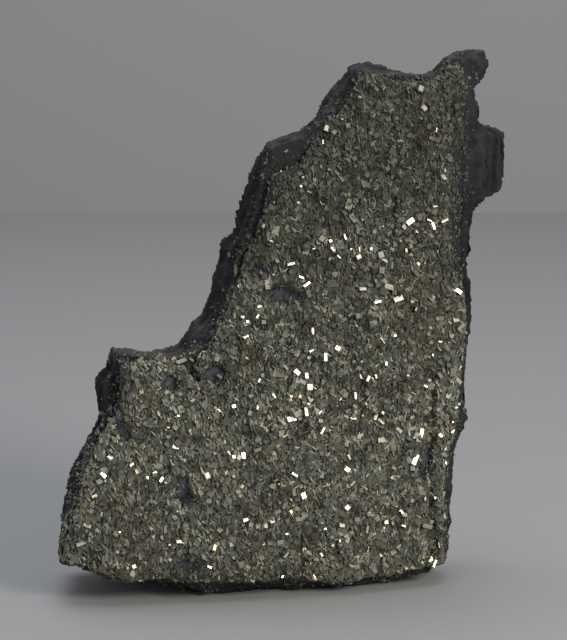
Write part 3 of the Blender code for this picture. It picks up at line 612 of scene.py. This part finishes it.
def growCrystals(ground, name, layer, material, bed=None):  # with a bed, only on the ground that is near it
    piece = bpy.data.objects.new(name, ground.data.copy())
    bpy.context.scene.collection.objects.link(piece)
    kinds = bpy.data.collections.new(name + "Kinds")
    bpy.context.scene.collection.children.link(kinds)
    for kind in layer["kinds"]:
        makeCrystalKind(kind, kinds)
    tree, source, result = startTree(piece, name)
    seed = layer["seed"]
    position = addNode(tree, "GeometryNodeInputPosition").outputs[0]
    mm = addNode(
        tree, "ShaderNodeVectorMath", {0: position, 1: (1000, 1000, 1000)}, operation="MULTIPLY",
    ).outputs[0]

    # Where crystals grow: the density, from 0 to 1
    facing = addNode(tree, "GeometryNodeInputNormal").outputs[0]
    facing = addNode(tree, "ShaderNodeSeparateXYZ", {0: facing}).outputs[1]
    apart = addNode(tree, "ShaderNodeSeparateXYZ", {0: mm})
    across, upward = apart.outputs[0], apart.outputs[2]
    if bed:  # the sides stay free of crystals, but for the places where the druse grows over the edge
        edges = ovalMask(tree, mm, grownToTheEdge, 0.15)
        values = {0: edges, 1: -growth["overEdge"], 2: facing}
        facing = addNode(tree, "ShaderNodeMath", values, operation="MULTIPLY_ADD")
        facing = addNode(tree, "ShaderNodeMath", {0: facing, 1: 0.7})
    density = addNode(tree, "ShaderNodeMapRange", {0: facing, 1: 0.5, 2: 0.2}).outputs[0]
    bare = ovalMask(tree, waver(tree, mm), scaledOvals(barePatches, layer["bareShare"]), 0.4)
    bare = addNode(
        tree, "ShaderNodeMath", {0: bare, 1: -growth["patchFall"], 2: 1.0}, operation="MULTIPLY_ADD",
    )
    density = addNode(tree, "ShaderNodeMath", {0: density, 1: bare}, operation="MULTIPLY").outputs[0]
    if bed:  # fewer with the way from the bed, and none past the reach
        there = addNode(tree, "GeometryNodeObjectInfo", {"Object": bed}).outputs["Geometry"]
        away = addNode(
            tree, "GeometryNodeProximity", {"Geometry": there}, target_element="FACES",
        ).outputs["Distance"]
        values = {"Vector": mm, "Scale": growth["reachNoise"], "Detail": 2.0}
        wander = addNode(tree, "ShaderNodeTexNoise", values).outputs[0]
        low, high = layer["reach"]
        reach = addNode(
            tree, "ShaderNodeMapRange", {0: wander, 1: 0.3, 2: 0.7, 3: low / 1000, 4: high / 1000},
        )
        further = ovalMask(tree, mm, layer["furtherAt"], 0.15)
        values = {0: further, 1: layer["further"] / 1000, 2: reach}
        reach = addNode(tree, "ShaderNodeMath", values, operation="MULTIPLY_ADD")
        near = addNode(tree, "ShaderNodeMapRange", {0: away, 1: reach, 2: 0.0005})
        density = addNode(tree, "ShaderNodeMath", {0: density, 1: near}, operation="MULTIPLY").outputs[0]
    crease = ovalMask(tree, waver(tree, mm), creases, 0.5)
    fading = ovalMask(tree, waver(tree, mm), fadingEdges, 0.5)
    crack = ovalMask(tree, mm, cracks, 0.2)
    for mask, fall in ((crease, "creaseFall"), (fading, "fadeFall"), (crack, "crackFall")):
        left = addNode(tree, "ShaderNodeMath", {0: mask, 1: -growth[fall], 2: 1.0}, operation="MULTIPLY_ADD")
        density = addNode(tree, "ShaderNodeMath", {0: density, 1: left}, operation="MULTIPLY").outputs[0]
    if "thin" in layer:  # small places where the bed shows
        values = {"Vector": mm, "Scale": growth["thinNoise"], "Detail": 2.0}
        often = addNode(tree, "ShaderNodeTexNoise", values).outputs[0]
        often = addNode(tree, "ShaderNodeMapRange", {0: often, 1: 0.38, 2: 0.5, 3: layer["thin"], 4: 1.0})
        density = addNode(tree, "ShaderNodeMath", {0: density, 1: often}, operation="MULTIPLY").outputs[0]
    if "clustered" in layer:  # in flocks, only where the front faces the viewer, and fewer up and to the left
        values = {"Vector": mm, "Scale": growth["clusterNoise"], "Detail": 2.0}
        flock = addNode(tree, "ShaderNodeTexNoise", values).outputs[0]
        few, many = layer["clustered"]
        flock = addNode(tree, "ShaderNodeMapRange", {0: flock, 1: 0.42, 2: 0.62, 3: few, 4: many})
        (start, end), (low, high) = growth["clusterFromTo"], growth["clusterUp"]
        thinned = addNode(tree, "ShaderNodeMapRange", {0: upward, 1: start, 2: end, 3: low, 4: high})
        front = addNode(tree, "ShaderNodeMapRange", {0: facing, 1: -0.3, 2: -0.75})
        (start, end), (low, high) = growth["clusterLeftToRight"], growth["clusterAcross"]
        leftward = addNode(tree, "ShaderNodeMapRange", {0: across, 1: start, 2: end, 3: low, 4: high})
        for share in (flock, thinned, front, leftward):
            density = addNode(tree, "ShaderNodeMath", {0: density, 1: share}, operation="MULTIPLY").outputs[0]

    # How each crystal sits, turns and is sized
    points = addNode(tree, "GeometryNodeDistributePointsOnFaces", {
        "Mesh": source, "Distance Min": layer["spacing"] / 1000, "Seed": seed,
        "Density Max": growth["most"], "Density Factor": density,
    }, distribute_method="POISSON")
    normal, points = points.outputs["Normal"], points.outputs["Points"]
    if bed:  # none under the bed
        values = {"Target Geometry": there, "Ray Direction": (0, -1, 0), "Ray Length": 0.02}
        covered = addNode(tree, "GeometryNodeRaycast", values).outputs["Is Hit"]
        points = addNode(
            tree, "GeometryNodeDeleteGeometry", {"Geometry": points, "Selection": covered},
        ).outputs[0]
    low, high = growth["unevenLift"]
    lift = addNode(tree, "FunctionNodeRandomValue", {2: low / 1000, 3: high / 1000, 8: seed + 1})
    lift = addNode(tree, "ShaderNodeMath", {0: lift, 1: layer["lift"] / 1000})
    rise = addNode(tree, "ShaderNodeVectorMath", {0: normal, "Scale": lift}, operation="SCALE")
    raised = addNode(tree, "GeometryNodeSetPosition", {"Geometry": points, "Offset": rise})
    choices = addNode(
        tree, "GeometryNodeCollectionInfo",
        {"Collection": kinds, "Separate Children": True, "Reset Children": True},
    )
    values = {"Vector": layer.get("toward", normal)}
    upright = addNode(tree, "FunctionNodeAlignRotationToVector", values, axis="Z", pivot_axis="AUTO")
    values = {"Rotation": upright, "Vector": (0, 0, 1)}
    upright = addNode(tree, "FunctionNodeAlignRotationToVector", values, axis="Y", pivot_axis="Z")
    most, lean = [math.radians(angle) for angle in layer["turn"]], math.radians(layer["lean"])
    values = {0: (-most[0], -most[1], lean - most[2]), 1: (most[0], most[1], lean + most[2]), 8: seed + 2}
    turn = addNode(tree, "FunctionNodeRandomValue", values, data_type="FLOAT_VECTOR")
    turn = addNode(tree, "FunctionNodeEulerToRotation", {0: turn})
    turned = addNode(tree, "FunctionNodeRotateRotation", {0: upright, 1: turn}, rotation_space="LOCAL")
    values = {"Vector": mm, "Scale": growth["swellNoise"], "Detail": 2.0}
    swell = addNode(tree, "ShaderNodeTexNoise", values).outputs[0]
    low, high = growth["swell"]
    swell = addNode(tree, "ShaderNodeMapRange", {0: swell, 1: 0.3, 2: 0.7, 3: low, 4: high})
    often = addNode(tree, "FunctionNodeRandomValue", {2: 0.0, 3: 1.0, 8: seed + 3})
    often = addNode(tree, "ShaderNodeMath", {0: often, 1: growth["smallness"]}, operation="POWER")
    size = addNode(
        tree, "ShaderNodeMapRange", {0: often, 3: layer["size"][0] / 1000, 4: layer["size"][1] / 1000},
    )
    size = addNode(tree, "ShaderNodeMath", {0: size, 1: swell}, operation="MULTIPLY")
    values = {0: fading, 1: -growth["fadeShrinks"], 2: 1.0}
    stunted = addNode(tree, "ShaderNodeMath", values, operation="MULTIPLY_ADD")
    size = addNode(tree, "ShaderNodeMath", {0: size, 1: stunted}, operation="MULTIPLY")
    low, high = growth["stretch"]
    scale = addNode(tree, "FunctionNodeRandomValue", {0: low, 1: high, 8: seed + 4}, data_type="FLOAT_VECTOR")
    scale = addNode(tree, "ShaderNodeVectorMath", {0: scale, "Scale": size}, operation="SCALE")
    grown = addNode(tree, "GeometryNodeInstanceOnPoints", {
        "Points": raised, "Instance": choices, "Pick Instance": True, "Rotation": turned, "Scale": scale,
    })

    # Its tint, darkened toward the top as painted shade, and its dullness, which the material reads
    # painted shade: a lower tint toward the top, times random tarnish patches and darker crystals where the
    # druse fades out
    (start, end), (low, high) = growth["paintedShadeFromTo"], growth["paintedShadeUp"]
    tarnishAndTopShade = addNode(tree, "ShaderNodeMapRange", {0: upward, 1: start, 2: end, 3: low, 4: high})
    values = {"Vector": mm, "Scale": growth["tintNoise"], "Detail": 3.0}
    patchy = addNode(tree, "ShaderNodeTexNoise", values).outputs[0]
    low, high = growth["tintPatches"]
    patchy = addNode(tree, "ShaderNodeMapRange", {0: patchy, 1: 0.3, 2: 0.7, 3: low, 4: high})
    tarnishAndTopShade = addNode(tree, "ShaderNodeMath", {0: tarnishAndTopShade, 1: patchy}, operation="MULTIPLY")
    values = {0: fading, 1: -growth["fadeDarkens"], 2: 1.0}
    darkened = addNode(tree, "ShaderNodeMath", values, operation="MULTIPLY_ADD")
    tarnishAndTopShade = addNode(tree, "ShaderNodeMath", {0: tarnishAndTopShade, 1: darkened}, operation="MULTIPLY")
    low, high = layer["tint"]
    tint = addNode(tree, "FunctionNodeRandomValue", {2: low, 3: high, 8: seed + 5})
    tint = addNode(tree, "ShaderNodeMath", {0: tint, 1: tarnishAndTopShade}, operation="MULTIPLY")
    (start, end), (low, high) = growth["dullFromTo"], growth["dullUp"]
    worn = addNode(tree, "ShaderNodeMapRange", {0: upward, 1: start, 2: end, 3: low, 4: high})
    low, high = layer["dull"]
    dull = addNode(tree, "FunctionNodeRandomValue", {2: low, 3: high, 8: seed + 6})
    dull = addNode(tree, "ShaderNodeMath", {0: dull, 1: worn})
    for attribute, value in (("crystalTint", tint), ("crystalDull", dull)):
        grown = addNode(
            tree, "GeometryNodeStoreNamedAttribute", {"Geometry": grown, "Name": attribute, "Value": value},
            data_type="FLOAT", domain="INSTANCE",
        )

    # Real mesh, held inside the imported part's box
    solid = addNode(tree, "GeometryNodeRealizeInstances", {0: grown})
    held = addNode(tree, "ShaderNodeVectorMath", {0: position, 1: tuple(cadLow)}, operation="MAXIMUM")
    held = addNode(tree, "ShaderNodeVectorMath", {0: held, 1: tuple(cadHigh)}, operation="MINIMUM")
    kept = addNode(tree, "GeometryNodeSetPosition", {"Geometry": solid, "Position": held})
    tree.links.new(kept.outputs[0], result)
    applyModifiers(piece)
    for crystal in list(kinds.objects):
        bpy.data.objects.remove(crystal)
    bpy.data.collections.remove(kinds)
    giveMaterial(piece, material)
    print(name + ":", triangleCount(piece), "triangles")
    return piece


shaleMaterial = makeShaleMaterial()
pyriteMaterial = makePyriteMaterial()
shale = makeShale(shaleMaterial)
bed = makeBed(makeBedMaterial())
druse = [growCrystals(bed, name, layer, pyriteMaterial) for name, layer in crystalLayers.items()]
druse += [growCrystals(shale, name, layer, pyriteMaterial, bed) for name, layer in shaleLayers.items()]

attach(shale, "root")
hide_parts("shale_slab")
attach(bed, "root")
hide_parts("pyrite_crust")
for piece in druse:
    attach(piece, "root")
print("pieces placed")


# Stage, lights and camera

studio = dict(  # lengths in metres, angles in degrees, lens and sensor in mm
    boardColour="adaeaf", boardRoughness=0.6, floorSize=6, backdropSize=5, backdropAway=1.54,
    worldColour="959799", worldStrength=1.0,
    target=(0.0004, -0.0015, 0.0813), distance=0.640, azimuth=-12, elevation=10, lens=120, sensor=36,
)
lamps = {  # place, size in metres, power in watts, colour
    "keySoftbox": dict(place=(0.55, -0.8, 0.6), size=0.36, power=6.5, colour="fff8ec"),
    "topSoftbox": dict(place=(-0.05, 0.1, 1.1), size=0.7, power=4.6, colour="f4f7ff"),
}


def makeStage():  # a matt painted board as the floor and another behind, square to the camera
    material = bpy.data.materials.new("paleBoardMatt")
    material.use_nodes = True
    shader = material.node_tree.nodes["Principled BSDF"]
    shader.inputs["Base Color"].default_value = toLinear(studio["boardColour"])
    shader.inputs["Roughness"].default_value = studio["boardRoughness"]
    turn = math.radians(studio["azimuth"])
    away = studio["backdropAway"] - studio["distance"] * math.cos(math.radians(studio["elevation"]))
    centre = (studio["target"][0] - math.sin(turn) * away, studio["target"][1] + math.cos(turn) * away, 0)
    bpy.ops.object.select_all(action="DESELECT")
    bpy.ops.mesh.primitive_plane_add(size=studio["floorSize"])
    floor = bpy.context.object
    floor.name = "floor"
    bpy.ops.object.select_all(action="DESELECT")
    bpy.ops.mesh.primitive_plane_add(
        size=studio["backdropSize"], location=centre, rotation=(math.radians(90), 0, turn),
    )
    backdrop = bpy.context.object
    backdrop.name = "backdrop"
    for board in (floor, backdrop):
        giveMaterial(board, material)
    world = bpy.data.worlds.new("softRoom")
    bpy.context.scene.world = world
    world.use_nodes = True
    background = world.node_tree.nodes["Background"]
    background.inputs[0].default_value = toLinear(studio["worldColour"])
    background.inputs[1].default_value = studio["worldStrength"]


def makeLamps():
    for name, lamp in lamps.items():
        data = bpy.data.lights.new(name, "AREA")
        data.size, data.energy = lamp["size"], lamp["power"]
        data.color = toLinear(lamp["colour"])[:3]
        light = bpy.data.objects.new(name, data)
        light.location = lamp["place"]
        light.rotation_euler = (Vector(studio["target"]) - light.location).to_track_quat("-Z", "Y").to_euler()
        bpy.context.scene.collection.objects.link(light)


def makeCamera():
    data = bpy.data.cameras.new("camera")
    data.lens, data.sensor_width = studio["lens"], studio["sensor"]
    data.clip_start, data.clip_end = 0.01, 20
    camera = bpy.data.objects.new("camera", data)
    bpy.context.scene.collection.objects.link(camera)
    turn, rise = math.radians(studio["azimuth"]), math.radians(studio["elevation"])
    back = Vector((math.sin(turn) * math.cos(rise), -math.cos(turn) * math.cos(rise), math.sin(rise)))
    camera.location = Vector(studio["target"]) + back * studio["distance"]
    camera.rotation_euler = (-back).to_track_quat("-Z", "Y").to_euler()
    bpy.context.scene.camera = camera


makeStage()
makeLamps()
makeCamera()
bpy.context.scene.view_settings.view_transform = "Standard"
print("stage, lamps and camera set")
